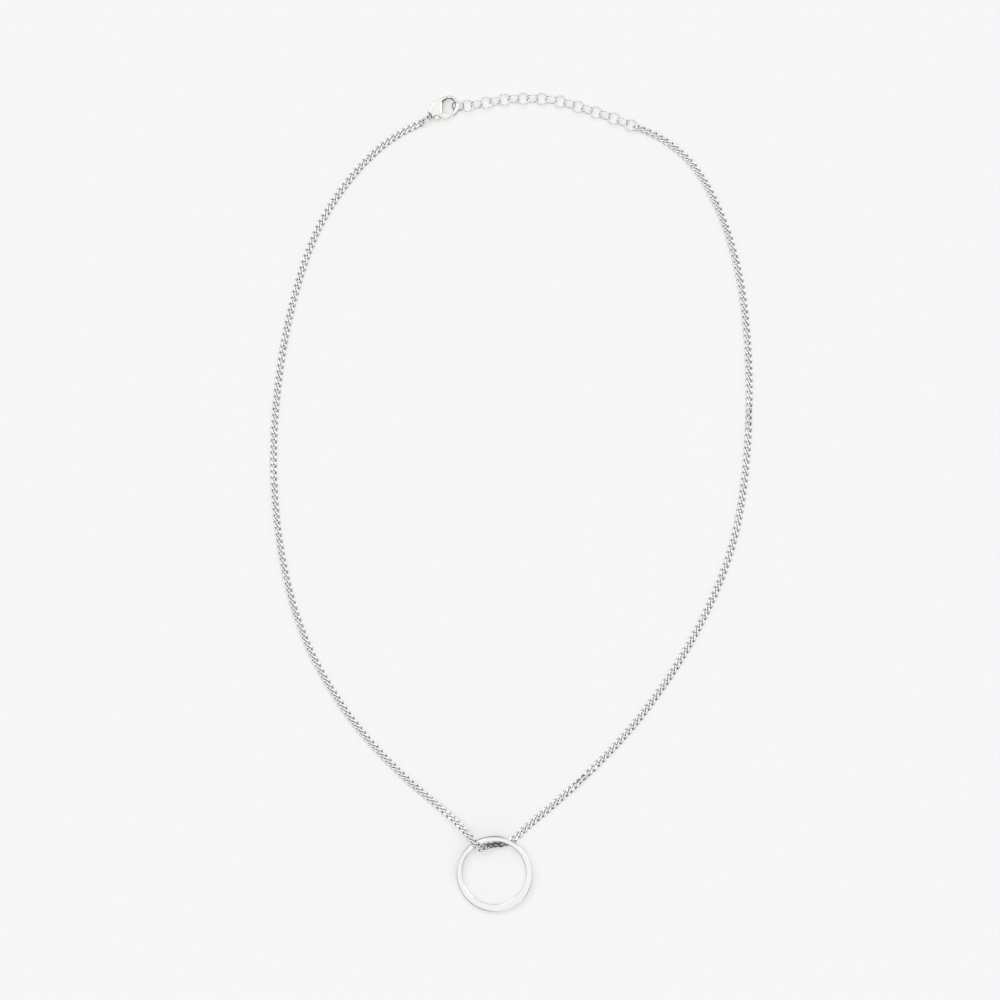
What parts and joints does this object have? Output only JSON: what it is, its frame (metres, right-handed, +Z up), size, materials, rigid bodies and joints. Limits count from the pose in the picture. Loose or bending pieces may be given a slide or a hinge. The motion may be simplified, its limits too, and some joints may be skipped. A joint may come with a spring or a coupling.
{
  "type": "open circle pendant necklace",
  "caption": "Open circle pendant hanging on a fine curb chain that closes with a sprung lever clasp hooked into a row of round extender links.",
  "frame": {"origin": "under the middle of the whole piece's bounding box, on the surface it lies on", "axes": "+X to the right as seen from above, +Y from the pendant towards the clasp, +Z up from the surface"},
  "size_m": [0.1351, 0.2291, 0.0066],
  "materials": {
    "ring_metal": "mirror polish",
    "chain_metal": "polished",
    "clasp_metal": "polished",
    "link_metal": "polished"
  },
  "bodies": {
    "necklace": {"pendant_ring": "ring_metal", "curb_chain": "chain_metal", "clasp_body": "clasp_metal", "clasp_pin": "clasp_metal", "clasp_jump_ring": "link_metal", "extender_jump_ring": "link_metal", "extender_link_01": "link_metal", "extender_link_02": "link_metal", "extender_link_03": "link_metal", "extender_link_04": "link_metal", "extender_link_05": "link_metal", "extender_link_06": "link_metal", "extender_link_07": "link_metal", "extender_link_08": "link_metal", "extender_link_09": "link_metal", "extender_link_10": "link_metal", "extender_link_11": "link_metal", "extender_link_12": "link_metal", "extender_link_13": "link_metal", "extender_link_14": "link_metal", "extender_link_15": "link_metal", "extender_link_16": "link_metal", "extender_link_17": "link_metal", "extender_link_18": "link_metal", "extender_link_19": "link_metal"},
    "lever": {"clasp_lever": "clasp_metal"}
  },
  "joints": [
    {"name": "clasp_lever_hinge", "type": "hinge", "parent": "necklace", "child": "lever", "pos_m": [-0.0198, 0.10807, 0.00105], "axis": [0, 0, 1], "range_deg": [0, 22], "stiffness_Nm_per_rad": 0.004, "springref_deg": -17.19}
  ]
}
